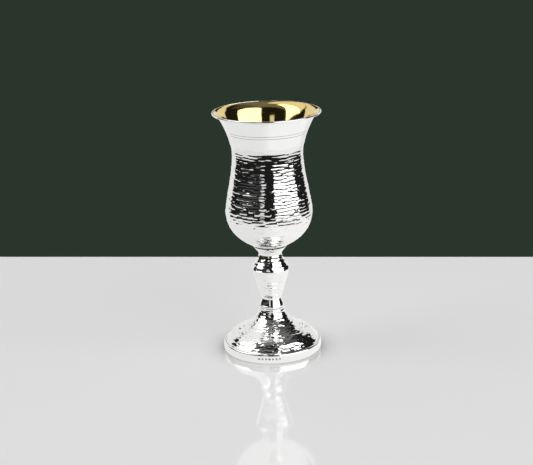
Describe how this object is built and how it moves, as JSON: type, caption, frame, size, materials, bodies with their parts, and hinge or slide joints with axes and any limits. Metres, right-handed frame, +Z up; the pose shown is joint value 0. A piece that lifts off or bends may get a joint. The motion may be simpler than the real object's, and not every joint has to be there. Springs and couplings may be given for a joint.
{
  "type": "ciborium vessel",
  "caption": "Footed metal goblet with a hammered tulip bowl, flared lip, gilt inside, knopped stem and domed foot, screwed together on a tie rod.",
  "frame": {"origin": "centre of the foot's flat underside, on the turning axis", "axes": "+Z up along the turning axis, from the foot to the rim; the piece is round, so +X and +Y are any two level directions, and -Y faces the viewer of the reference view"},
  "size_m": [0.084, 0.084, 0.1905],
  "materials": {
    "hammered_silver": "polished",
    "plain_silver": "polished",
    "gilt": "polished",
    "brass": "satin",
    "steel": "satin",
    "leather": "matte"
  },
  "bodies": {
    "stem": {"foot_band": "plain_silver", "foot_dome": "hammered_silver", "foot_plate": "brass", "stem_bead": "plain_silver", "stem_ring": "plain_silver", "knop_lower": "hammered_silver", "knop_upper": "hammered_silver", "knop_top_plate": "brass", "stem_locknut": "brass", "tie_rod": "steel", "spacer_tube": "brass"},
    "seat_washer": {"seat_washer": "leather"},
    "cup": {"cup_bowl": "hammered_silver", "gilt_lining": "gilt", "cup_collar": "plain_silver", "cup_boss": "brass"},
    "foot_washer": {"foot_washer": "brass"},
    "foot_nut": {"foot_nut": "brass"}
  },
  "joints": [
    {"name": "cup_turn", "type": "hinge", "parent": "stem", "child": "seat_washer", "pos_m": [0, 0, 0.0756], "axis": [0, 0, 1], "range_deg": [0, 1620]},
    {"name": "cup_rise", "type": "slide", "parent": "seat_washer", "child": "cup", "axis": [0, 0, 1], "range_m": [0, 0.0045]},
    {"name": "nut_drop", "type": "slide", "parent": "stem", "child": "foot_washer", "axis": [0, 0, -1], "range_m": [0, 0.007]},
    {"name": "nut_turn", "type": "hinge", "parent": "foot_washer", "child": "foot_nut", "pos_m": [0, 0, 0.0266], "axis": [0, 0, -1], "range_deg": [0, 2520]}
  ],
  "couplings": [
    {"joint": "cup_rise", "follows": "cup_turn", "m_per_rad": 0.00015915},
    {"joint": "nut_turn", "follows": "nut_drop", "rad_per_m": 6283.1}
  ]
}
